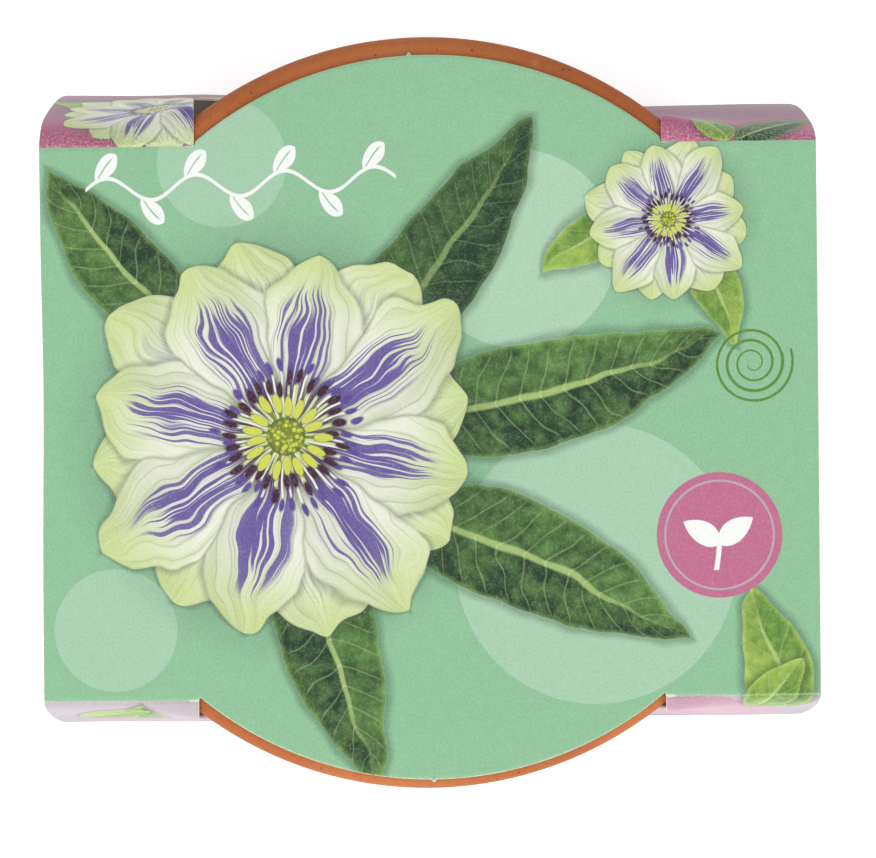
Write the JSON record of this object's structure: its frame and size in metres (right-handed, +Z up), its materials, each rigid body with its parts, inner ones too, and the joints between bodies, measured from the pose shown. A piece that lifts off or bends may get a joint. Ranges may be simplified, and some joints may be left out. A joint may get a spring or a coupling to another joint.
{
  "type": "plant growing kit in a card sleeve",
  "caption": "Terracotta plant pot held in a folded card sleeve with round tabs over its rim, with a coir disc and a paper sachet of seeds inside the pot.",
  "frame": {"origin": "on the surface that the kit stands on, under the middle of its outer box", "axes": "+X along the sleeve towards its right open end, +Y to the back, +Z up"},
  "size_m": [0.1132, 0.11, 0.0932],
  "materials": {
    "terracotta": "matt unglazed clay, finely grained",
    "printed_card": "satin printed outside, bare pale card inside",
    "coir": "rough pressed fibre",
    "sachet_paper": "matt printed paper with sealed edges"
  },
  "bodies": {
    "root": {"pot": "terracotta", "sleeve": "printed_card", "coir_disc": "coir", "seed_sachet": "sachet_paper"}
  },
  "joints": []
}
